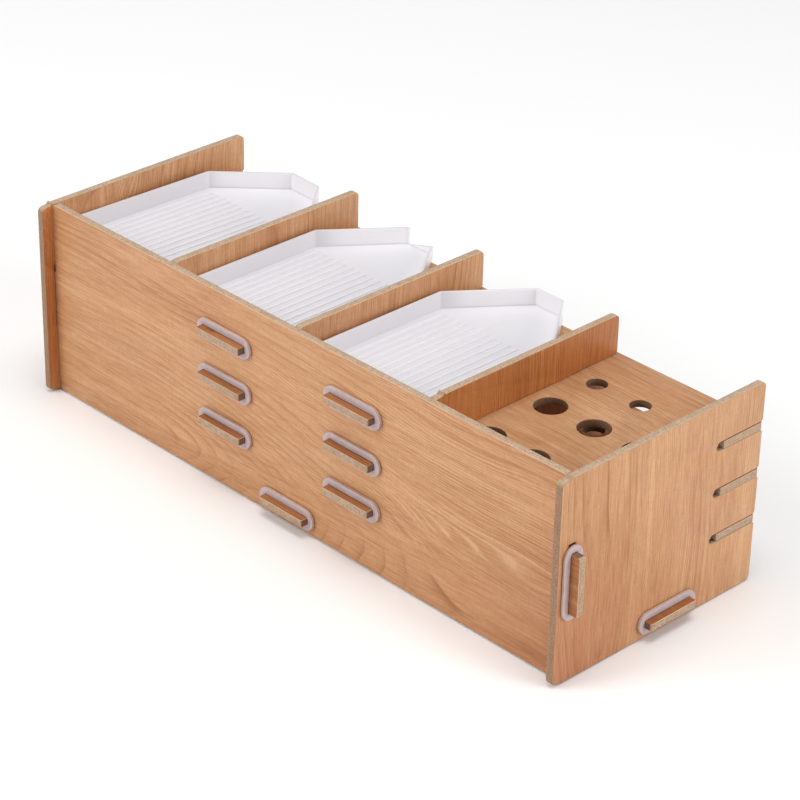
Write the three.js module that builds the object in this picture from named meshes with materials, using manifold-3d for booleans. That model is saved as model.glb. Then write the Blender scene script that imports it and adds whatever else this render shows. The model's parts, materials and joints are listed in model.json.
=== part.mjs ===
// Desktop tray sorter: slotted fibreboard panels locked together by tabs and elastic rings,
// with three boat-shaped trays on the top shelf and a rack of tool holes in the fourth bay.
// Millimetres, +Z up. X runs along the length, with the tool bay at -X.
// Y runs from the open side, where the trays slide in, to the closed back at +Y.

import * as THREE from 'three';
import { mergeVertices } from 'three/addons/utils/BufferGeometryUtils.js';
import Module from 'manifold-3d';

const wasm = await Module();
wasm.setup();

// Overall size of the panelled body, and how far a tray tip hangs out of the open side.
const bodyLength = 355;
const panelDepth = 131;
const panelHeight = 103.6;
const trayOverhang = 4;

// Boards.
const boardThickness = 3.7;
const fitGap = 0.3;
const cornerRadius = 2.5;
const tabCornerRadius = 1;
const backCornerRadius = 1.5;
const backInset = 6.3;
const dividerSetback = 1.6;
const dividerPitch = 88;
const middleDividerX = -1.1;
const topShelfHeight = 83;
const shelfPitch = 24.1;
const shelfCount = 3;
const baseHeight = 10;

// Half-lap joints between the shelves and the upright boards.
const endSlotDepth = 31;
const shelfStripDepth = 26.3;
const slotMouthRadius = 1.4;
const endSlotSlack = 0.6;
const dividerSlotDepth = 27.8;

// Shoulder and tooth at the back corners of each end panel, and at the upper one of the divider
// beside the tool bay: only the upper teeth stand proud.
const toothRise = 0.9;
const endToothInset = 6.4;
const dividerToothInset = 6.2;
const toothClimb = 1.3;
const toothFall = 0.8;
const toothDip = 0.2;
const toothEnd = 2;
const shoulderLow = 1.1;
const shoulderHigh = 0.6;

// Tabs that pass through a neighbouring board, and the rings round them.
const tabWidth = 30;
const tabProud = 5.6;
const backTabProud = 6.6;
const shelfTabOffset = 44;
const backTabHeight = 51.5;
const backTabSlack = 3.8;
const baseTabY = -5;
const tenonWidth = 20;
const ringBand = 3.3;
const ringThickness = 1.5;
const ringLift = 0.2;
const ringInnerRadius = 1;

// Tool holes: three columns, and three rows measured from the open side.
const toolColumnX = -131.2;
const toolColumnPitch = 26.7;
const toolRows = [
  { fromFront: 30, diameter: 10.3 },
  { fromFront: 60.5, diameter: 16 },
  { fromFront: 99.9, diameter: 16 },
];

// Trays: each lies in its own bay, drawn back a little way from the furthest overhang and
// turned by a few degrees. The far one is broader and blunter than the other two.
const trayLength = 122;
const trayHeight = 10.1;
const trayWall = 1.2;
const trayCornerRadius = 3;
const trayTipRadius = 1.6;
const narrowTray = { width: 74.2, tipWidth: 17.5, funnel: 37, ribs: 14 };
const broadTray = { width: 79.4, tipWidth: 21, funnel: 32, ribs: 15 };
const trays = [
  { ...broadTray, name: 'tray_far', x: 131.1, drawnBack: 1.3, yaw: -2 },
  { ...narrowTray, name: 'tray_middle', x: 45.8, drawnBack: 0.1, yaw: 0, mouth: true },
  { ...narrowTray, name: 'tray_near', x: -42.3, drawnBack: 0, yaw: 0 },
];
const ribPitch = 4.8;
const ribWidth = 1.8;
const ribHeight = 0.5;
const ribEndGap = 3;
const mouthClimb = 35;
const mouthDepth = 27;

// Steps in a rounded corner, the distance at which two points count as one, and how far a
// cutting body runs past the body that it cuts.
const arcSteps = 6;
const samePoint = 0.01;
const cutOver = 1;

// Planes worked out from the sizes above.
const halfLength = bodyLength / 2;
const backEdgeY = (panelDepth + trayOverhang) / 2;
const frontEdgeY = backEdgeY - panelDepth;
const backOuterY = backEdgeY - backInset;
const backInnerY = backOuterY - boardThickness;
const shelfBackY = backInnerY - fitGap;
const shelfFrontY = frontEdgeY + fitGap;
const innerHalfLength = halfLength - boardThickness - fitGap;
const stripEndY = frontEdgeY + shelfStripDepth;
const shelfHeights = Array.from({ length: shelfCount }, (_, i) => topShelfHeight - i * shelfPitch);
const dividerXs = [-1, 0, 1].map((step) => middleDividerX + step * dividerPitch);

const woodLook = { color: 0xc9966b, roughness: 0.55, metalness: 0 };
const siliconeLook = { color: 0xc4b0ad, roughness: 0.45, metalness: 0 };
const plasticLook = { color: 0xf1f1f4, roughness: 0.25, metalness: 0 };

// Orientations of a flat outline: lying down, standing along X, standing along Y.
const axisX = new THREE.Vector3(1, 0, 0);
const axisY = new THREE.Vector3(0, 1, 0);
const axisZ = new THREE.Vector3(0, 0, 1);
const lyingDown = new THREE.Matrix4().makeBasis(axisX, axisY, axisZ);
const alongX = new THREE.Matrix4().makeBasis(axisX, axisZ, axisY.clone().negate());
const alongY = new THREE.Matrix4().makeBasis(axisY, axisZ, axisX);

// Turns a list of [u, v, radius] corners into points, with an arc at each rounded corner.
function roundedPoints(corners) {
  const points = [];
  const add = (point) => {
    const last = points.at(-1);
    if (!last || last.distanceTo(point) > samePoint) points.push(point);
  };
  corners.forEach(([u, v, radius = 0], index) => {
    const corner = new THREE.Vector2(u, v);
    if (radius === 0) {
      add(corner);
      return;
    }
    const before = corners.at(index - 1);
    const after = corners[(index + 1) % corners.length];
    const toBefore = new THREE.Vector2(before[0], before[1]).sub(corner).normalize();
    const toAfter = new THREE.Vector2(after[0], after[1]).sub(corner).normalize();
    const halfAngle = Math.acos(toBefore.dot(toAfter)) / 2;
    const reach = radius / Math.tan(halfAngle);
    const middle = toBefore.clone().add(toAfter).normalize();
    const centre = corner.clone().addScaledVector(middle, radius / Math.sin(halfAngle));
    const start = corner.clone().addScaledVector(toBefore, reach).sub(centre).angle();
    const end = corner.clone().addScaledVector(toAfter, reach).sub(centre).angle();
    const turn = Math.atan2(Math.sin(end - start), Math.cos(end - start));
    for (let step = 0; step <= arcSteps; step += 1) {
      const angle = start + (turn * step) / arcSteps;
      add(new THREE.Vector2(centre.x + radius * Math.cos(angle), centre.y + radius * Math.sin(angle)));
    }
  });
  if (points[0].distanceTo(points.at(-1)) < samePoint) points.pop();
  return points;
}

function rectangle(lowU, highU, lowV, highV, radius = 0) {
  return [
    [lowU, lowV, radius],
    [highU, lowV, radius],
    [highU, highV, radius],
    [lowU, highV, radius],
  ];
}

function solid(geometry) {
  const bare = geometry.clone();
  bare.deleteAttribute('normal');
  bare.deleteAttribute('uv');
  const merged = mergeVertices(bare);
  return new wasm.Manifold(
    new wasm.Mesh({
      numProp: 3,
      vertProperties: new Float32Array(merged.attributes.position.array),
      triVerts: new Uint32Array(merged.index.array),
    }),
  );
}

function geometryOf(shape) {
  const result = shape.getMesh();
  const geometry = new THREE.BufferGeometry();
  geometry.setAttribute('position', new THREE.BufferAttribute(new Float32Array(result.vertProperties), 3));
  geometry.setIndex(new THREE.BufferAttribute(new Uint32Array(result.triVerts), 1));
  const faceted = geometry.toNonIndexed();
  faceted.computeVertexNormals();
  return faceted;
}

// A flat outline given a height range along the axis it is drawn on.
function prism(corners, low, high) {
  const shape = new THREE.Shape(roundedPoints(corners));
  const geometry = new THREE.ExtrudeGeometry(shape, { depth: high - low, bevelEnabled: false });
  geometry.translate(0, 0, low);
  return solid(geometry);
}

function cutPlate(corners, holes, thickness) {
  const blank = prism(corners, 0, thickness);
  return holes.reduce((plate, hole) => plate.subtract(prism(hole, -cutOver, thickness + cutOver)), blank);
}

function mesh(name, shape, look, plane, position) {
  const node = new THREE.Mesh(geometryOf(shape), new THREE.MeshStandardMaterial(look));
  node.name = name;
  node.quaternion.setFromRotationMatrix(plane);
  node.position.set(...position);
  return node;
}

function board(name, corners, holes, plane, position) {
  return mesh(name, cutPlate(corners, holes, boardThickness), woodLook, plane, position);
}

// A window for a tab: the tab's own section with a small gap all round.
function tabWindow(centreU, centreV, width, height) {
  const halfU = width / 2 + fitGap;
  const halfV = height / 2 + fitGap;
  return rectangle(centreU - halfU, centreU + halfU, centreV - halfV, centreV + halfV);
}

// The slots that an upright board takes the shelves in, from its front edge, bottom to top.
function slotCorners(frontY, depth, slackAbove) {
  const endY = frontEdgeY + depth;
  return shelfHeights
    .toReversed()
    .flatMap((top) => {
      const low = top - boardThickness - fitGap;
      const high = top + slackAbove;
      const round = (high - low) / 2;
      return [
        [frontY, low, slotMouthRadius],
        [endY, low, round],
        [endY, high, round],
        [frontY, high, slotMouthRadius],
      ];
    })
    .reverse();
}

// Back corner of an upright board: a shoulder, then a small tooth beyond the edge.
function backCorner(backY, toothInset, shoulderRadius, edgeZ, up, rise) {
  const toothZ = edgeZ + up * rise;
  const toothY = backY - toothInset;
  return [
    [backY, edgeZ - up * shoulderLow, shoulderRadius],
    [toothY + toothClimb, edgeZ - up * shoulderHigh],
    [toothY, toothZ],
    [toothY - toothFall, edgeZ - up * toothDip],
    [toothY - toothEnd, edgeZ],
  ];
}

function endPanel(name, x) {
  const topCorner = backCorner(backEdgeY, endToothInset, cornerRadius, panelHeight, 1, toothRise);
  const bottomCorner = backCorner(backEdgeY, endToothInset, cornerRadius, 0, -1, 0);
  const corners = [
    [frontEdgeY, 0, cornerRadius],
    ...bottomCorner.toReversed(),
    ...topCorner,
    [frontEdgeY, panelHeight, cornerRadius],
    ...slotCorners(frontEdgeY, endSlotDepth, endSlotSlack),
  ];
  const backTabMiddle = backTabHeight + backTabSlack / 2;
  const backTab = tabWindow(
    (backOuterY + backInnerY) / 2,
    backTabMiddle,
    boardThickness,
    tabWidth + backTabSlack,
  );
  const baseTab = tabWindow(baseTabY, baseHeight - boardThickness / 2, tabWidth, boardThickness);
  return board(name, corners, [backTab, baseTab], alongY, [x, 0, 0]);
}

function divider(name, x, toothed) {
  const frontY = frontEdgeY + dividerSetback;
  const lowZ = baseHeight + fitGap;
  const tenonZ = baseHeight - boardThickness;
  const topCorner = toothed
    ? backCorner(shelfBackY, dividerToothInset, 0, panelHeight, 1, toothRise)
    : [[shelfBackY, panelHeight, cornerRadius]];
  const corners = [
    [frontY, lowZ],
    [baseTabY - tenonWidth / 2, lowZ],
    [baseTabY - tenonWidth / 2, tenonZ],
    [baseTabY + tenonWidth / 2, tenonZ],
    [baseTabY + tenonWidth / 2, lowZ],
    [shelfBackY, lowZ],
    ...topCorner,
    [frontY, panelHeight, cornerRadius],
    ...slotCorners(frontY, dividerSlotDepth, fitGap),
  ];
  return board(name, corners, [], alongY, [x - boardThickness / 2, 0, 0]);
}

function backPanel() {
  const halfTab = tabWidth / 2;
  const tabX = halfLength + backTabProud;
  const side = (sign) => [
    [sign * innerHalfLength, fitGap, backCornerRadius],
    [sign * innerHalfLength, backTabHeight - halfTab],
    [sign * tabX, backTabHeight - halfTab, tabCornerRadius],
    [sign * tabX, backTabHeight + halfTab, tabCornerRadius],
    [sign * innerHalfLength, backTabHeight + halfTab],
    [sign * innerHalfLength, panelHeight, backCornerRadius],
  ];
  const corners = [...side(1), ...side(-1).reverse()];
  const windowAt = (x, top) => tabWindow(x, top - boardThickness / 2, tabWidth, boardThickness);
  const shelfWindows = shelfHeights.flatMap((top) => [-1, 1].map((sign) => windowAt(sign * shelfTabOffset, top)));
  const windows = [...shelfWindows, windowAt(0, baseHeight)];
  return board('back_panel', corners, windows, alongX, [0, backOuterY, 0]);
}

// The back edge of a lying board, from +X to -X, with tabs through the back panel.
function backEdge(tabXs) {
  const halfTab = tabWidth / 2;
  const tabY = backOuterY + tabProud;
  return tabXs.flatMap((x) => [
    [x + halfTab, shelfBackY],
    [x + halfTab, tabY, tabCornerRadius],
    [x - halfTab, tabY, tabCornerRadius],
    [x - halfTab, shelfBackY],
  ]);
}

// A shelf: a full-length strip at the front with a tongue through each end panel, and
// behind it four leaves, because each divider fills a slot cut in from the back edge.
function shelf(name, top, holes) {
  const halfSlot = boardThickness / 2 + fitGap;
  const slot = (x) => [
    [x + halfSlot, shelfBackY],
    [x + halfSlot, stripEndY],
    [x - halfSlot, stripEndY],
    [x - halfSlot, shelfBackY],
  ];
  const backEdgeItems = [
    slot(dividerXs[2]),
    backEdge([shelfTabOffset]),
    slot(dividerXs[1]),
    backEdge([-shelfTabOffset]),
    slot(dividerXs[0]),
  ];
  const corners = [
    [-halfLength, shelfFrontY, tabCornerRadius],
    [halfLength, shelfFrontY, tabCornerRadius],
    [halfLength, stripEndY],
    [innerHalfLength, stripEndY],
    [innerHalfLength, shelfBackY],
    ...backEdgeItems.flat(),
    [-innerHalfLength, shelfBackY],
    [-innerHalfLength, stripEndY],
    [-halfLength, stripEndY],
  ];
  return board(name, corners, holes, lyingDown, [0, 0, top - boardThickness]);
}

function baseBoard() {
  const halfTab = tabWidth / 2;
  const tabX = halfLength + tabProud;
  const side = (sign) => [
    [sign * innerHalfLength, shelfFrontY],
    [sign * innerHalfLength, baseTabY - halfTab],
    [sign * tabX, baseTabY - halfTab, tabCornerRadius],
    [sign * tabX, baseTabY + halfTab, tabCornerRadius],
    [sign * innerHalfLength, baseTabY + halfTab],
    [sign * innerHalfLength, shelfBackY],
  ];
  const corners = [...side(1), ...backEdge([0]), ...side(-1).reverse()];
  const tenons = dividerXs.map((x) => tabWindow(x, baseTabY, boardThickness, tenonWidth));
  return board('base_board', corners, tenons, lyingDown, [0, 0, baseHeight - boardThickness]);
}

function toolHoles() {
  return toolRows.flatMap(({ fromFront, diameter }) =>
    [-1, 0, 1].map((step) => {
      const x = toolColumnX + step * toolColumnPitch;
      const y = frontEdgeY + fromFront;
      const r = diameter / 2;
      return rectangle(x - r, x + r, y - r, y + r, r);
    }),
  );
}

// A stretched ring round a tab: long along u, and long along v when upright is true.
function ring(name, centreU, centreV, upright, plane, position) {
  const halfLong = tabWidth / 2 + fitGap;
  const halfShort = boardThickness / 2 + fitGap;
  const outline = (grow, radius) => {
    const halfU = (upright ? halfShort : halfLong) + grow;
    const halfV = (upright ? halfLong : halfShort) + grow;
    return rectangle(centreU - halfU, centreU + halfU, centreV - halfV, centreV + halfV, radius);
  };
  const band = cutPlate(outline(ringBand, ringBand + halfShort), [outline(0, ringInnerRadius)], ringThickness);
  return mesh(name, band, siliconeLook, plane, position);
}

function backRings() {
  const position = [0, backOuterY + ringLift + ringThickness, 0];
  const ringAt = (name, x, top) => ring(name, x, top - boardThickness / 2, false, alongX, position);
  const levels = ['top', 'middle', 'bottom'];
  const shelfRings = levels.flatMap((level, index) => [
    ringAt(`ring_back_${level}_far`, shelfTabOffset, shelfHeights[index]),
    ringAt(`ring_back_${level}_near`, -shelfTabOffset, shelfHeights[index]),
  ]);
  return [...shelfRings, ringAt('ring_back_base', 0, baseHeight)];
}

function endRings(end, x) {
  const panelY = (backOuterY + backInnerY) / 2;
  return [
    ring(`ring_${end}_upright`, panelY, backTabHeight, true, alongY, [x, 0, 0]),
    ring(`ring_${end}_base`, baseTabY, baseHeight - boardThickness / 2, false, alongY, [x, 0, 0]),
  ];
}

// Plan of a tray shrunk by an inset: square at the back, narrowing to a blunt tip at -Y.
function trayPlan({ width, tipWidth, funnel }, inset) {
  const half = width / 2 - inset;
  const back = trayLength / 2 - inset;
  const tipY = -trayLength / 2;
  const funnelRun = (width - tipWidth) / 2;
  const slant = Math.hypot(funnelRun, funnel);
  const shoulder = tipY + funnel + (inset * (slant - funnelRun)) / funnel;
  const halfTip = tipWidth / 2 - (inset * (slant - funnel)) / funnelRun;
  const soft = trayCornerRadius - inset;
  const tight = trayTipRadius - inset;
  return [
    [half, back, soft],
    [-half, back, soft],
    [-half, shoulder, soft],
    [-halfTip, tipY + inset, tight],
    [halfTip, tipY + inset, tight],
    [half, shoulder, soft],
  ];
}

// One of the low ribs along a tray's floor, from near the back wall to the start of the funnel.
function rib({ funnel }, x) {
  const back = trayLength / 2 - trayWall - ribEndGap;
  const front = -trayLength / 2 + funnel + ribEndGap;
  const outline = rectangle(x - ribWidth / 2, x + ribWidth / 2, front, back);
  return prism(outline, trayWall / 2, trayWall + ribHeight);
}

// The wedge that opens a tray's tip into a pouring mouth. Its lower face starts level with
// the floor beside one funnel wall and climbs to the rim along the other.
function mouthCut({ tipWidth }) {
  const start = tipWidth / 2 - trayWall;
  const wedge = [
    [start, trayWall],
    [start, trayHeight + cutOver],
    [start - mouthClimb, trayHeight + cutOver],
  ];
  const upright = new THREE.Matrix4().makeTranslation(0, mouthDepth - trayLength / 2, 0).multiply(alongX);
  return prism(wedge, 0, mouthDepth + cutOver).transform(upright.elements);
}

function tray(spec) {
  const inside = prism(trayPlan(spec, trayWall), trayWall, trayHeight + cutOver);
  let body = prism(trayPlan(spec, 0), 0, trayHeight).subtract(inside);
  for (let index = 0; index < spec.ribs; index += 1) {
    body = body.add(rib(spec, (index - (spec.ribs - 1) / 2) * ribPitch));
  }
  if (spec.mouth) body = body.subtract(mouthCut(spec));
  const position = [spec.x, trayLength / 2 - backEdgeY + spec.drawnBack, topShelfHeight + fitGap];
  const turned = new THREE.Matrix4().makeRotationZ(THREE.MathUtils.degToRad(spec.yaw));
  return mesh(spec.name, body, plasticLook, turned, position);
}

const organiser = new THREE.Group();
organiser.add(
  endPanel('end_panel_tool', -halfLength),
  endPanel('end_panel_far', halfLength - boardThickness),
  backPanel(),
  ...dividerXs.map((x, index) => divider(`divider_${index + 1}`, x, index === 0)),
  shelf('shelf_top', shelfHeights[0], toolHoles()),
  shelf('shelf_middle', shelfHeights[1], toolHoles()),
  shelf('shelf_bottom', shelfHeights[2], []),
  baseBoard(),
  ...backRings(),
  ...endRings('tool', -halfLength - ringLift - ringThickness),
  ...endRings('far', halfLength + ringLift),
  ...trays.map(tray),
);

export default organiser;
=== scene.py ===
import json
import math

import bmesh
import bpy
from mathutils import Matrix, Vector

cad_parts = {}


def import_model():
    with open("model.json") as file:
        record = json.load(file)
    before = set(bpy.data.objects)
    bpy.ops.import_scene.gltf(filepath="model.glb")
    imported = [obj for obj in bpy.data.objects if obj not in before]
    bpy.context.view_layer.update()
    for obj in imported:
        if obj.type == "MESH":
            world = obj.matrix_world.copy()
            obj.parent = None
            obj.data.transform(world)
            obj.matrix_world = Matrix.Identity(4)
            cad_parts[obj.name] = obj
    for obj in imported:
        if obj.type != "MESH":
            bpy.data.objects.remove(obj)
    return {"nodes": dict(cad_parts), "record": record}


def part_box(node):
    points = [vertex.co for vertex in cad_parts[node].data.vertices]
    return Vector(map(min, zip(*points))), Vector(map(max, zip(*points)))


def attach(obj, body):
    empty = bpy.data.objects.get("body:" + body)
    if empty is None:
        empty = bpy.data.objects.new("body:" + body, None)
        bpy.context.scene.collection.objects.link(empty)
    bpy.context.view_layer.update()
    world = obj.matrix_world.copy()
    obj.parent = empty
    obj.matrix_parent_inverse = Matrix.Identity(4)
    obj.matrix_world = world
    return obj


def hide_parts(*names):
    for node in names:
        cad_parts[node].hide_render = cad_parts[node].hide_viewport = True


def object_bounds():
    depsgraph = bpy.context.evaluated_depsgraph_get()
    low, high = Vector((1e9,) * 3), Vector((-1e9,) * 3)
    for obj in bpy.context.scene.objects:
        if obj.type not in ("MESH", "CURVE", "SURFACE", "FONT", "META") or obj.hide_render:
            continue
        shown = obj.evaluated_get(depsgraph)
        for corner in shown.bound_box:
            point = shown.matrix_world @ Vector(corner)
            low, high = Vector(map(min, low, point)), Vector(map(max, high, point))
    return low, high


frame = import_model()
cad_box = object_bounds()

MM = 0.001

# ---------------------------------------------------------------------------
# Node trees
# ---------------------------------------------------------------------------


class Tree:
    """A small writer for a material's node tree."""

    def __init__(self, name):
        self.material = bpy.data.materials.new(name)
        self.material.use_nodes = True
        self.nodes = self.material.node_tree.nodes
        self.links = self.material.node_tree.links
        self.nodes.clear()
        self.out = self.nodes.new("ShaderNodeOutputMaterial")

    def plug(self, socket, value):
        if isinstance(value, bpy.types.NodeSocket):
            self.links.new(value, socket)
        elif value is not None:
            socket.default_value = value

    def maths(self, operation, a, b=None):
        node = self.nodes.new("ShaderNodeMath")
        node.operation = operation
        for socket, value in zip(node.inputs, (a, b)):
            self.plug(socket, value)
        return node.outputs[0]

    def add(self, a, b):
        return self.maths("ADD", a, b)

    def sub(self, a, b):
        return self.maths("SUBTRACT", a, b)

    def mul(self, a, b):
        return self.maths("MULTIPLY", a, b)

    def vector(self, x, y, z):
        node = self.nodes.new("ShaderNodeCombineXYZ")
        for socket, value in zip(node.inputs, (x, y, z)):
            self.plug(socket, value)
        return node.outputs[0]

    def split(self, vector):
        node = self.nodes.new("ShaderNodeSeparateXYZ")
        self.plug(node.inputs[0], vector)
        return node.outputs

    def distance(self, a, b):
        node = self.nodes.new("ShaderNodeVectorMath")
        node.operation = "DISTANCE"
        self.plug(node.inputs[0], a)
        self.plug(node.inputs[1], b)
        return node.outputs["Value"]

    def attribute(self, name):
        node = self.nodes.new("ShaderNodeAttribute")
        node.attribute_name = name
        return node.outputs["Vector"]

    def place(self):
        return self.nodes.new("ShaderNodeTexCoord").outputs["Object"]

    def upward(self):
        normal = self.nodes.new("ShaderNodeNewGeometry").outputs["True Normal"]
        return self.split(normal)[2]

    def noise(self, vector, scale=1.0, detail=2.0, roughness=0.5):
        node = self.nodes.new("ShaderNodeTexNoise")
        self.plug(node.inputs["Vector"], vector)
        node.inputs["Scale"].default_value = scale
        node.inputs["Detail"].default_value = detail
        node.inputs["Roughness"].default_value = roughness
        return node.outputs["Fac"]

    def ramp(self, value, stops):
        """A grey from straight runs between the stops, each a position and a level."""
        node = self.nodes.new("ShaderNodeValToRGB")
        elements = node.color_ramp.elements
        while len(elements) < len(stops):
            elements.new(1.0)
        for element, (position, level) in zip(elements, stops):
            element.position = position
            element.color = (level, level, level, 1)
        self.plug(node.inputs["Fac"], value)
        return node.outputs["Color"]

    def span(self, value, low, high, to_low=0.0, to_high=1.0):
        """A smooth step from to_low to to_high as value goes from low to high."""
        node = self.nodes.new("ShaderNodeMapRange")
        node.interpolation_type = "SMOOTHSTEP"
        for socket, number in zip(node.inputs, (value, low, high, to_low, to_high)):
            self.plug(socket, number)
        return node.outputs[0]

    def blend(self, factor, a, b, mode="MIX"):
        node = self.nodes.new("ShaderNodeMix")
        node.data_type = "RGBA"
        node.blend_type = mode
        self.plug(node.inputs["Factor"], factor)
        colours = [s for s in node.inputs if s.type == "RGBA"]
        self.plug(colours[0], a)
        self.plug(colours[1], b)
        return [s for s in node.outputs if s.type == "RGBA"][0]

    def bump(self, height, distance, strength):
        node = self.nodes.new("ShaderNodeBump")
        node.inputs["Strength"].default_value = strength
        node.inputs["Distance"].default_value = distance
        self.plug(node.inputs["Height"], height)
        return node.outputs["Normal"]

    def surface(self, colour, roughness, normal=None, **settings):
        node = self.nodes.new("ShaderNodeBsdfPrincipled")
        self.plug(node.inputs["Base Color"], colour)
        self.plug(node.inputs["Roughness"], roughness)
        self.plug(node.inputs["Normal"], normal)
        for name, value in settings.items():
            node.inputs[name.replace("_", " ")].default_value = value
        self.links.new(node.outputs[0], self.out.inputs["Surface"])
        return self.material


def rgb(red, green, blue):
    """A linear colour from 0 to 255 display values."""

    def linear(value):
        value /= 255
        return value / 12.92 if value <= 0.04045 else ((value + 0.055) / 1.055) ** 2.4

    return (linear(red), linear(green), linear(blue), 1)


# ---------------------------------------------------------------------------
# Materials. Board materials read the vector attribute "grain": millimetres along
# the grain, millimetres across it, and a number that differs from sheet to sheet.
# "depth" holds the place through the board's thickness, -1 and 1 at its faces.
# ---------------------------------------------------------------------------

PANEL_LOW, PANEL_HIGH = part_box("end_panel_tool")[0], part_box("end_panel_far")[1]
BACK_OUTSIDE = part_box("back_panel")[1][1]
# painted shade: the wood is darkened towards this foot of the body, near the floor
SHADED_CORNER = (PANEL_LOW[0], BACK_OUTSIDE, 0)
SHADED_CORNER_REACH = 105 * MM

# the growth figure, in millimetres along and across the grain
RING_SPACING = 5.2
FINE_LINES_PER_RING = 4.0
ARCH_CLIMB = 38.0
ARCH_REACH = 120.0
ARCH_SPREAD = 48.0
PITH_DEPTH = 12.0
# fine lines fade out between these distances from the arches' middle line
CLEAR_FROM, CLEAR_TO = 4.0, 32.0
# how far the arches' middle line and legs wander, the arches rise and fall, and rings drift
BEND, WOBBLE, UNEVEN_CLIMB, RING_DRIFT = 28.0, 4.0, 9.0, 2.4
SHEET_SEED_STEP = 17.3

ROSE_WOOD = rgb(203, 137, 96)
SHADED_FIBRE, LIT_FIBRE = rgb(218, 196, 172), rgb(255, 255, 255)
PALE_STREAK, DARK_STREAK = rgb(232, 187, 139), rgb(182, 118, 72)
PALE_HAIR = rgb(232, 186, 138)
FINE_LINE, LATE_WOOD = rgb(238, 198, 154), rgb(158, 94, 50)
RIPPLE = rgb(172, 112, 68)
PORE = rgb(132, 80, 46)
CORNER_SHADE = rgb(150, 70, 18)
GRAIN_RELIEF = 0.06 * MM


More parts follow.
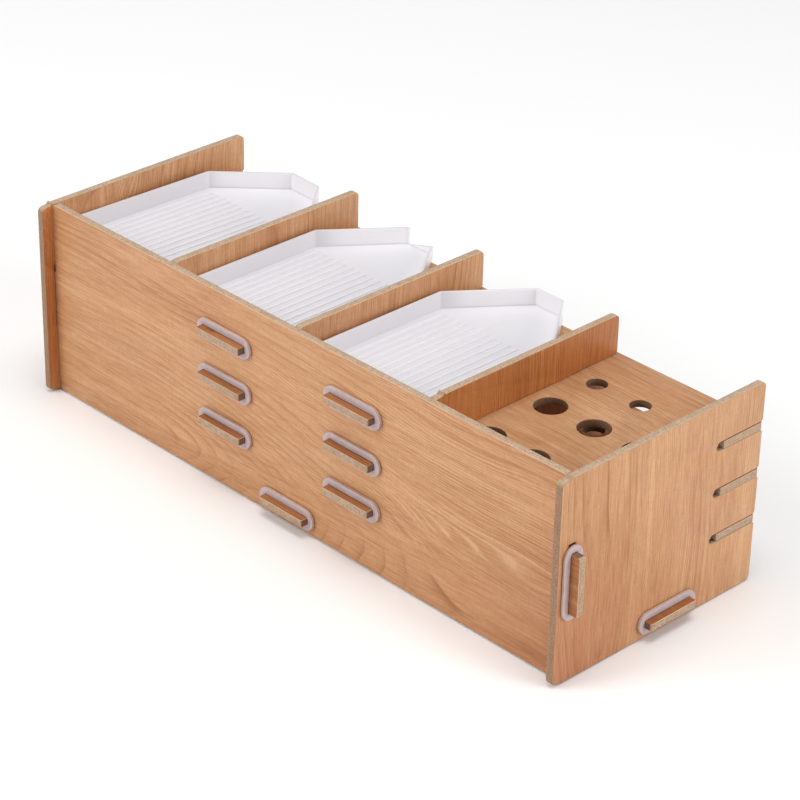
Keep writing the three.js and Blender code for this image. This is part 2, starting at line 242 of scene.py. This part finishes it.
def laminate(name, pale, deep, beyond_box=None, beyond_shade=None, overall_tint=None):
    """Flat-sawn wood figure, satin. beyond_box: planes that part the boards from their tabs beyond
    them, whose colour beyond_shade multiplies as painted shade. overall_tint: multiplies every
    colour."""
    t = Tree(name)
    along, across, sheet = t.split(t.attribute("grain"))
    seed = t.mul(sheet, SHEET_SEED_STEP)

    def streaks(per_along, per_across, detail=3.0, roughness=0.55):
        place = t.vector(t.mul(along, per_along), t.mul(across, per_across), seed)
        return t.noise(place, 1.0, detail, roughness)

    # growth rings of a flat-sawn board: nested arches along a middle line, whose legs run
    # nearly straight further out
    bend = t.mul(t.sub(streaks(0.006, 0.016, 1.0), 0.5), BEND)
    wobble = t.mul(t.sub(streaks(0.018, 0.06, 1.0), 0.5), WOBBLE)
    side = t.add(t.add(across, bend), wobble)
    spread = t.maths("DIVIDE", side, ARCH_SPREAD)
    fade = t.maths("DIVIDE", 1.0, t.add(1.0, t.mul(spread, spread)))
    climb = t.span(along, -ARCH_REACH, ARCH_REACH, ARCH_CLIMB, -ARCH_CLIMB)
    uneven = t.mul(t.sub(streaks(0.014, 0.02, 1.0), 0.5), UNEVEN_CLIMB)
    climb = t.add(climb, uneven)
    arch = t.maths("SQRT", t.add(t.mul(side, side), PITH_DEPTH**2))
    radius = t.add(arch, t.mul(climb, fade))
    rings = t.maths("DIVIDE", radius, RING_SPACING)
    phase = t.add(rings, t.mul(streaks(0.004, 0.04, 1.0), RING_DRIFT))
    season = t.maths("FRACT", phase)
    line = t.ramp(season, [(0.0, 0.0), (0.5, 0.08), (0.8, 0.4), (0.94, 1.0), (1.0, 0.0)])
    faint = t.span(streaks(0.011, 0.05), 0.4, 0.66, 0.06, 1.0)
    late = t.mul(line, faint)
    clear = t.span(t.maths("ABSOLUTE", side), CLEAR_FROM, CLEAR_TO)
    fine_phase = t.maths("FRACT", t.mul(phase, FINE_LINES_PER_RING))
    fine = t.ramp(fine_phase, [(0.0, 0.0), (0.36, 0.0), (0.62, 1.0), (0.84, 0.0), (1.0, 0.0)])
    patchy = t.span(streaks(0.012, 0.12, 2.0), 0.3, 0.7, 0.15, 1.0)
    fine = t.mul(fine, t.mul(patchy, clear))

    # fibres, short cross ripples, broad streaks, pores and slow changes of colour
    fibre = streaks(0.045, 1.2, 5.0, 0.75)
    hair = streaks(0.08, 3.4, 3.0, 0.6)
    chatter = streaks(1.15, 0.22, 2.0, 0.6)
    band = streaks(0.005, 0.22, 3.0)
    pores = t.span(streaks(0.3, 4.6, 1.0), 0.62, 0.76)
    patch = streaks(0.011, 0.03, 3.0)
    rose = streaks(0.006, 0.015, 2.0)

    ground = t.blend(t.span(patch, 0.3, 0.7), deep, pale)
    ground = t.blend(t.span(rose, 0.4, 0.68, 0.0, 0.5), ground, ROSE_WOOD)
    tone = t.blend(t.span(fibre, 0.3, 0.72), SHADED_FIBRE, LIT_FIBRE)
    ground = t.blend(0.8, ground, tone, "MULTIPLY")
    ground = t.blend(t.span(band, 0.52, 0.7, 0.0, 0.3), ground, PALE_STREAK)
    ground = t.blend(t.span(band, 0.46, 0.3, 0.0, 0.3), ground, DARK_STREAK)
    ground = t.blend(t.mul(t.span(hair, 0.42, 0.62), 0.46), ground, PALE_HAIR)
    ground = t.blend(t.mul(fine, 0.68), ground, FINE_LINE)
    late = t.mul(late, t.span(clear, 0.0, 1.0, 0.9, 0.58))
    ground = t.blend(late, ground, LATE_WOOD)
    ground = t.blend(t.span(chatter, 0.3, 0.7, 0.16, 0.0), ground, RIPPLE)
    ground = t.blend(t.mul(pores, 0.4), ground, PORE)
    place = t.place()
    # painted shade, darkening the wood towards the foot of the tool end and the back
    corner = t.span(t.distance(place, SHADED_CORNER), 0.0, SHADED_CORNER_REACH, 0.34, 0.0)
    ground = t.blend(corner, ground, CORNER_SHADE)
    # painted shade on the tabs and strips beyond beyond_box
    if beyond_box:
        x, y, _ = t.split(place)
        low, high = beyond_box
        beyond = t.maths("GREATER_THAN", y, high[1])
        beyond = t.maths("MAXIMUM", beyond, t.maths("GREATER_THAN", x, high[0]))
        beyond = t.maths("MAXIMUM", beyond, t.maths("LESS_THAN", x, low[0]))
        ground = t.blend(beyond, ground, beyond_shade, "MULTIPLY")
    # one multiply over every colour: painted shade on divider_1, a plain tint on the deck
    if overall_tint:
        ground = t.blend(1.0, ground, overall_tint, "MULTIPLY")

    height = t.add(t.mul(fibre, 0.5), t.mul(pores, -0.6))
    return t.surface(
        ground,
        t.span(fibre, 0.2, 0.8, 0.5, 0.4),
        t.bump(height, GRAIN_RELIEF, 0.35),
        Specular_IOR_Level=0.42,
    )


# half a board's thickness, in millimetres
HALF_BOARD = 1.85

CORE_DARK, CORE_PALE = rgb(166, 139, 114), rgb(203, 178, 153)
CORE_LAYER = rgb(170, 144, 120)
PALE_CRUMB, DARK_CRUMB = rgb(226, 206, 184), rgb(118, 92, 64)
WORN_CORE = rgb(172, 136, 100)
FACE_SKIN = rgb(222, 186, 153)
UPRIGHT_CORE_SHADE, NARROW_SHADE = rgb(128, 76, 44), rgb(104, 58, 32)
CORE_RELIEF = 0.12 * MM


def fibre_core(name, shade, upright_shade):
    """Bare fibreboard on a cut edge. shade: how far it is darkened, painted shade for edges deep in
    narrow holes and beside the rings. upright_shade: the same painted shade for the edges that
    don't face up."""
    t = Tree(name)
    along, across, sheet = t.split(t.attribute("grain"))
    depth = t.split(t.attribute("depth"))[0]
    place = t.vector(along, across, t.mul(depth, HALF_BOARD))
    speck = t.noise(place, 1.1, 3.0, 0.7)
    crumbs = t.noise(place, 2.4, 2.0, 0.6)
    pressed = t.vector(t.mul(along, 0.2), t.mul(across, 0.2), t.mul(depth, 4.0))
    layers = t.noise(pressed, 1.0, 2.0, 0.6)
    wear = t.noise(place, 0.09, 3.0, 0.6)
    colour = t.blend(t.span(speck, 0.32, 0.66), CORE_DARK, CORE_PALE)
    colour = t.blend(t.span(layers, 0.4, 0.68, 0.0, 0.45), colour, CORE_LAYER)
    colour = t.blend(t.span(crumbs, 0.57, 0.68, 0.0, 0.6), colour, PALE_CRUMB)
    colour = t.blend(t.span(crumbs, 0.42, 0.3, 0.0, 0.6), colour, DARK_CRUMB)
    colour = t.blend(t.span(wear, 0.45, 0.65, 0.0, 0.3), colour, WORN_CORE)
    skin = t.span(t.maths("ABSOLUTE", depth), 0.86, 0.93)
    ragged = t.span(t.noise(place, 0.8, 3.0, 0.6), 0.3, 0.5, 0.45, 1.0)
    colour = t.blend(t.mul(skin, ragged), colour, FACE_SKIN)
    # painted shade: edges that face sideways or down are darkened, the up-facing ones stay light
    upright = t.span(t.upward(), 0.3, 0.97, upright_shade, 0.0)
    colour = t.blend(upright, colour, UPRIGHT_CORE_SHADE)
    # painted shade over the whole cut edge
    colour = t.blend(shade, colour, NARROW_SHADE)
    height = t.add(speck, t.mul(crumbs, 0.6))
    return t.surface(colour, 0.82, t.bump(height, CORE_RELIEF, 0.6), Specular_IOR_Level=0.2)


RING_DUST = rgb(236, 226, 220)
RING_RELIEF = 0.04 * MM


def silicone(name, pale, deep):
    """Cloudy, slightly see-through rubber with a little dust on it."""
    t = Tree(name)
    place = t.place()
    cloud = t.noise(place, 260.0, 3.0, 0.6)
    dust = t.noise(place, 2600.0, 2.0, 0.6)
    colour = t.blend(t.span(cloud, 0.3, 0.7), deep, pale)
    colour = t.blend(t.span(dust, 0.62, 0.75, 0.0, 0.35), colour, RING_DUST)
    normal = t.bump(t.add(cloud, t.mul(dust, 0.4)), RING_RELIEF, 0.3)
    return t.surface(
        colour,
        t.span(dust, 0.3, 0.7, 0.34, 0.5),
        normal,
        Subsurface_Weight=0.35,
        Subsurface_Radius=(0.002, 0.0013, 0.001),
        Subsurface_Scale=0.35,
        Specular_IOR_Level=0.45,
    )


TRAY_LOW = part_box("tray_near")[0]
TRAY_FLOOR = TRAY_LOW[2] + 1.2 * MM
ABOVE_RIBS = TRAY_FLOOR + 0.8 * MM
# painted light: the walls of the tip are painted lighter, as lit through from the front, fading out
# between these places
TIP_LIT_TO, TIP_DIM_FROM = TRAY_LOW[1] + 26 * MM, TRAY_LOW[1] + 37 * MM
TRAY_WALL, TRAY_TIP_LIT = rgb(226, 223, 227), rgb(240, 238, 241)
TRAY_CLOUD = rgb(220, 220, 228)
TRAY_RELIEF = 0.02 * MM
TRAY_ROUGHNESS = 0.3


def moulded_white(name, lying):
    """Thin white plastic. lying: the colour of what isn't a wall."""
    t = Tree(name)
    place = t.place()
    _, y, height = t.split(place)
    cloud = t.noise(place, 14.0, 1.0, 0.5)
    haze = t.noise(place, 1500.0, 2.0, 0.5)
    # painted light: the walls get a colour of their own, apart from the lying floor, set to how
    # light falls on them
    wall = t.mul(t.span(t.upward(), 0.8, 0.2), t.maths("GREATER_THAN", height, ABOVE_RIBS))
    # painted light on the walls near the tip
    lit = t.span(y, TIP_LIT_TO, TIP_DIM_FROM, 1.0, 0.0)
    colour = t.blend(wall, lying, t.blend(lit, TRAY_WALL, TRAY_TIP_LIT))
    colour = t.blend(t.span(cloud, 0.3, 0.7, 0.0, 0.12), colour, TRAY_CLOUD)
    return t.surface(
        colour,
        TRAY_ROUGHNESS,
        t.bump(haze, TRAY_RELIEF, 0.25),
        Subsurface_Weight=0.15,
        Subsurface_Radius=(0.003, 0.003, 0.0034),
        Subsurface_Scale=0.5,
        Specular_IOR_Level=0.4,
    )


# the tabs reach beyond these planes
TAB_BOX = ((PANEL_LOW[0], 0, 0), (PANEL_HIGH[0], BACK_OUTSIDE, 0))
WARM_PALE, WARM_DEEP = rgb(217, 165, 119), rgb(196, 141, 94)
LAMINATE = laminate("laminate", WARM_PALE, WARM_DEEP)
# painted shade: the first colour after TAB_BOX darkens the tabs beyond those planes, standing for
# the rings' shade and warm light bounced off the boards
TABBED = laminate("tabbed_laminate", WARM_PALE, WARM_DEEP, TAB_BOX, rgb(212, 184, 154))
UPRIGHT = laminate("upright_laminate", WARM_PALE, WARM_DEEP, TAB_BOX, rgb(231, 202, 167))
DECK_TAB_SHADE, DECK_TINT = rgb(219, 190, 156), rgb(245, 248, 255)
DECK = laminate("deck_laminate", WARM_PALE, WARM_DEEP, TAB_BOX, DECK_TAB_SHADE, DECK_TINT)
# painted shade: divider_1 stands in the tool bay's shade, so its whole laminate is darkened and
# reddened as by shade and warm light bounced off the deck
SHADED_BAY = laminate("shaded_bay_laminate", WARM_PALE, WARM_DEEP, overall_tint=rgb(231, 196, 151))
DUSKY_PALE, DUSKY_DEEP = rgb(219, 164, 117), rgb(199, 139, 91)
# painted shade: on the far end panel the same multiply darkens the strip behind the back panel
DUSKY = laminate("dusky_laminate", DUSKY_PALE, DUSKY_DEEP, TAB_BOX, rgb(244, 213, 180))
CORE = fibre_core("fibre_core", 0.0, 0.05)
END_CORE = fibre_core("end_core", 0.0, 0.48)
NARROW_SHADE_CORE = fibre_core("narrow_shade_core", 0.72, 0.0)
RING_FACE = silicone("ring_face", rgb(196, 181, 184), rgb(190, 173, 175))
# painted highlight: the ring's eased edges and sides are paler and pinker than its faces
RING_RIM_HIGHLIGHT = silicone("ring_rim_highlight", rgb(211, 187, 178), rgb(202, 175, 163))
WHITE = moulded_white("moulded_white", rgb(224, 222, 226))
RIB_WHITE = moulded_white("rib_white", rgb(231, 229, 233))

# ---------------------------------------------------------------------------
# Pieces made from the frame's own shapes, with eased edges
# ---------------------------------------------------------------------------


X, Y, Z = 0, 1, 2
# two places closer than this are one
TOUCH = 0.01 * MM
# only edges that turn more than this, in degrees, are corners to round
SHARP = 28.0


def eased_copy(node, width, segments):
    """A bmesh of a CAD node with its corners rounded off inside its own outline."""
    mesh = bmesh.new()
    mesh.from_mesh(frame["nodes"][node].data)
    bmesh.ops.remove_doubles(mesh, verts=mesh.verts, dist=TOUCH)
    bmesh.ops.dissolve_limit(
        mesh,
        angle_limit=math.radians(0.5),
        use_dissolve_boundaries=False,
        verts=mesh.verts,
        edges=mesh.edges,
        delimit={"NORMAL"},
    )
    mesh.normal_update()
    limit = math.radians(SHARP)
    corners = [e for e in mesh.edges if e.is_manifold and e.calc_face_angle(0.0) > limit]
    bmesh.ops.bevel(
        mesh,
        geom=corners,
        offset=width,
        offset_type="OFFSET",
        segments=segments,
        profile=0.5,
        affect="EDGES",
        clamp_overlap=True,
    )
    mesh.normal_update()
    return mesh


def finish_piece(name, mesh, body, node, materials, smooth):
    """smooth: edges that turn less than this, in degrees, are shaded as one surface."""
    data = bpy.data.meshes.new(name)
    mesh.to_mesh(data)
    mesh.free()
    piece = bpy.data.objects.new(name, data)
    bpy.context.scene.collection.objects.link(piece)
    for material in materials:
        data.materials.append(material)
    data.shade_smooth()
    data.set_sharp_from_angle(angle=math.radians(smooth))
    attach(piece, body)
    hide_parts(node)
    return piece


def body_of(node):
    for body, members in frame["record"]["behaviour"]["bodies"].items():
        if node in members:
            return body
    return None


def write_vectors(data, name, values):
    layer = data.attributes.new(name, "FLOAT_VECTOR", "POINT")
    layer.data.foreach_set("vector", [x for value in values for x in value])


BOARD_EASE = 0.28 * MM
BOARD_SMOOTH = 40.0
# what a sheet's number changes by from its middle to a face, so that the two faces differ
FACE_STEP = 0.37

HOLE_SIDE_MARGIN = 4 * MM
HOLE_END_MARGIN = 12 * MM
BAY_LEFT, BAY_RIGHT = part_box("end_panel_tool")[1][0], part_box("divider_1")[0][0]
BAY_FRONT, BAY_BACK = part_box("shelf_top")[0][1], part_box("back_panel")[0][1]


def in_tool_hole(place):
    """Whether a cut edge of a shelf lies inside the tool bay, away from the shelf's own outline."""
    inside_x = BAY_LEFT + HOLE_SIDE_MARGIN < place.x < BAY_RIGHT - HOLE_SIDE_MARGIN
    inside_y = BAY_FRONT + HOLE_END_MARGIN < place.y < BAY_BACK - HOLE_END_MARGIN
    return inside_x and inside_y


def is_flat(face, axis):
    """Whether a face looks straight along an axis."""
    return abs(face.normal[axis]) > 0.999


def on_tab_side(place, normal):
    """Whether a cut edge is a side of a tab, outside the board that the tab passes through."""
    if place.y > BACK_OUTSIDE:
        return abs(normal.x) > 0.9
    beyond_end = place.x < PANEL_LOW[0] or place.x > PANEL_HIGH[0]
    return beyond_end and abs(normal.x) < 0.1


def board(node, thin, grain, cross, start, middle, number, facing=LAMINATE, core=CORE):
    """thin, grain and cross: the axes through the board, along its grain and across it.
    start and middle place the growth figure: millimetres from the board's centre, along the
    grain to where its arches are steepest, and across it to the line that they stand on.
    number: the sheet's own."""
    low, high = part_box(node)
    centre = (low + high) / 2
    half = (high[thin] - low[thin]) / 2
    holed = node in ("shelf_top", "shelf_middle")
    mesh = eased_copy(node, BOARD_EASE, 2)
    for face in mesh.faces:
        place = face.calc_center_median()
        at_face = abs(abs(place[thin] - centre[thin]) - half) < TOUCH
        if at_face and is_flat(face, thin):
            face.material_index = 0
            continue
        # painted shade: tab sides beside the rings and walls of the tool holes get the darkened
        # core
        in_narrow_shade = on_tab_side(place, face.normal) or (holed and in_tool_hole(place))
        face.material_index = 2 if in_narrow_shade else 1
    name = node + "_board"
    materials = [facing, core, NARROW_SHADE_CORE]
    piece = finish_piece(name, mesh, body_of(node), node, materials, BOARD_SMOOTH)
    grains, depths = [], []
    for vertex in piece.data.vertices:
        place = (vertex.co - centre) / MM
        side = 1 if place[thin] > 0 else -1
        grains.append((place[grain] - start, place[cross] - middle, number + FACE_STEP * side))
        depths.append((place[thin] * MM / half, 0, 0))
    write_vectors(piece.data, "grain", grains)
    write_vectors(piece.data, "depth", depths)


board("back_panel", Y, X, Z, 0, -44, 61, UPRIGHT)
board("end_panel_tool", X, Z, Y, -130, 42, 12, LAMINATE, END_CORE)
board("end_panel_far", X, Z, Y, 110, 40, 3, DUSKY, END_CORE)
board("divider_1", X, Z, Y, -110, 66, 4, SHADED_BAY, END_CORE)
board("divider_2", X, Z, Y, -140, -34, 5)
board("divider_3", X, Z, Y, -160, 8, 6)
board("shelf_top", Z, X, Y, -190, 60, 7, DECK)
board("shelf_middle", Z, X, Y, 190, -22, 8, TABBED)
board("shelf_bottom", Z, X, Y, -180, 40, 9, TABBED)
board("base_board", Z, X, Y, 200, -10, 10, TABBED)

RING_EASE = 0.28 * MM
RING_SMOOTH = 60.0


def ring(node, thin):
    mesh = eased_copy(node, RING_EASE, 4)
    # faces that aren't flat take the rim's painted highlight
    for face in mesh.faces:
        face.material_index = 0 if is_flat(face, thin) else 1
    materials = [RING_FACE, RING_RIM_HIGHLIGHT]
    finish_piece(node + "_band", mesh, body_of(node), node, materials, RING_SMOOTH)


for node in frame["nodes"]:
    if node.startswith("ring_back"):
        ring(node, Y)
    elif node.startswith("ring_"):
        ring(node, X)

TRAY_EASE = 0.2 * MM
TRAY_SMOOTH = 50.0
# how far a rib's face may reach below the tray's floor, and must reach above it
RIB_SLACK = 0.05 * MM


def tray(node):
    """The thin floor takes on a little of what lies under it; its ribs are thicker and whiter."""
    mesh = eased_copy(node, TRAY_EASE, 2)
    for face in mesh.faces:
        heights = [vertex.co.z for vertex in face.verts]
        rises = TRAY_FLOOR + RIB_SLACK < max(heights) < ABOVE_RIBS
        on_rib = rises and min(heights) > TRAY_FLOOR - RIB_SLACK
        face.material_index = 1 if on_rib else 0
    materials = [WHITE, RIB_WHITE]
    finish_piece(node + "_moulding", mesh, body_of(node), node, materials, TRAY_SMOOTH)


for node in frame["nodes"]:
    if node.startswith("tray_"):
        tray(node)

# ---------------------------------------------------------------------------
# Stage, lights and camera
# ---------------------------------------------------------------------------


FLOOR_HALF = 6
FLOOR_DROP = 0.5 * MM


def floor_material():
    t = Tree("floor")
    colour = t.blend(t.noise(t.place(), 3.0), rgb(250, 250, 250), rgb(252, 252, 252))
    return t.surface(colour, 0.9, Specular_IOR_Level=0.1)


def floor():
    mesh = bmesh.new()
    bmesh.ops.create_grid(mesh, x_segments=4, y_segments=4, size=FLOOR_HALF)
    data = bpy.data.meshes.new("floor")
    mesh.to_mesh(data)
    mesh.free()
    data.materials.append(floor_material())
    piece = bpy.data.objects.new("floor", data)
    piece.location = (0, 0, cad_box[0][2] - FLOOR_DROP)
    bpy.context.scene.collection.objects.link(piece)


def towards(azimuth, elevation):
    """The direction to a place seen at these degrees round from the front and up."""
    a, e = math.radians(azimuth), math.radians(elevation)
    return Vector((math.sin(a) * math.cos(e), -math.cos(a) * math.cos(e), math.sin(e)))


def area_light(name, azimuth, elevation, distance, size, energy):
    light = bpy.data.lights.new(name, "AREA")
    light.shape = "DISK"
    light.size = size
    light.energy = energy
    lamp = bpy.data.objects.new(name, light)
    direction = towards(azimuth, elevation)
    lamp.location = direction * distance
    lamp.rotation_euler = direction.to_track_quat("Z", "Y").to_euler()
    bpy.context.scene.collection.objects.link(lamp)


def world():
    w = bpy.data.worlds.new("studio")
    w.use_nodes = True
    background = w.node_tree.nodes["Background"]
    background.inputs["Color"].default_value = (1, 1, 1, 1)
    background.inputs["Strength"].default_value = 0.3
    bpy.context.scene.world = w


CAMERA_AZIMUTH = 225.659
CAMERA_ELEVATION = 29.353
CAMERA_ROLL = 1.261
CAMERA_DISTANCE = 1.3844
CAMERA_LENS = 130.94
CAMERA_AIM = Vector((-0.00718, -0.00361, -0.00725))


def camera():
    data = bpy.data.cameras.new("camera")
    data.sensor_width = 36
    data.lens = CAMERA_LENS
    data.clip_start = 0.05
    data.clip_end = 50
    cam = bpy.data.objects.new("camera", data)
    low, high = Vector(cad_box[0]), Vector(cad_box[1])
    target = (low + high) / 2 + CAMERA_AIM
    direction = towards(CAMERA_AZIMUTH, CAMERA_ELEVATION)
    right = (-direction).cross(Vector((0, 0, 1))).normalized()
    up = right.cross(-direction)
    roll = math.radians(CAMERA_ROLL)
    tilted_right = right * math.cos(roll) + up * math.sin(roll)
    tilted_up = up * math.cos(roll) - right * math.sin(roll)
    turn = Matrix((tilted_right, tilted_up, direction)).transposed().to_4x4()
    cam.matrix_world = Matrix.Translation(target + direction * CAMERA_DISTANCE) @ turn
    bpy.context.scene.collection.objects.link(cam)
    bpy.context.scene.camera = cam


floor()
world()
area_light("key", 290, 22, 2.4, 1.4, 22)
area_light("fill", 150, 34, 2.4, 1.5, 25.5)
area_light("top", 250, 84, 3.0, 2.0, 46.5)
camera()

scene = bpy.context.scene
scene.view_settings.view_transform = "Standard"
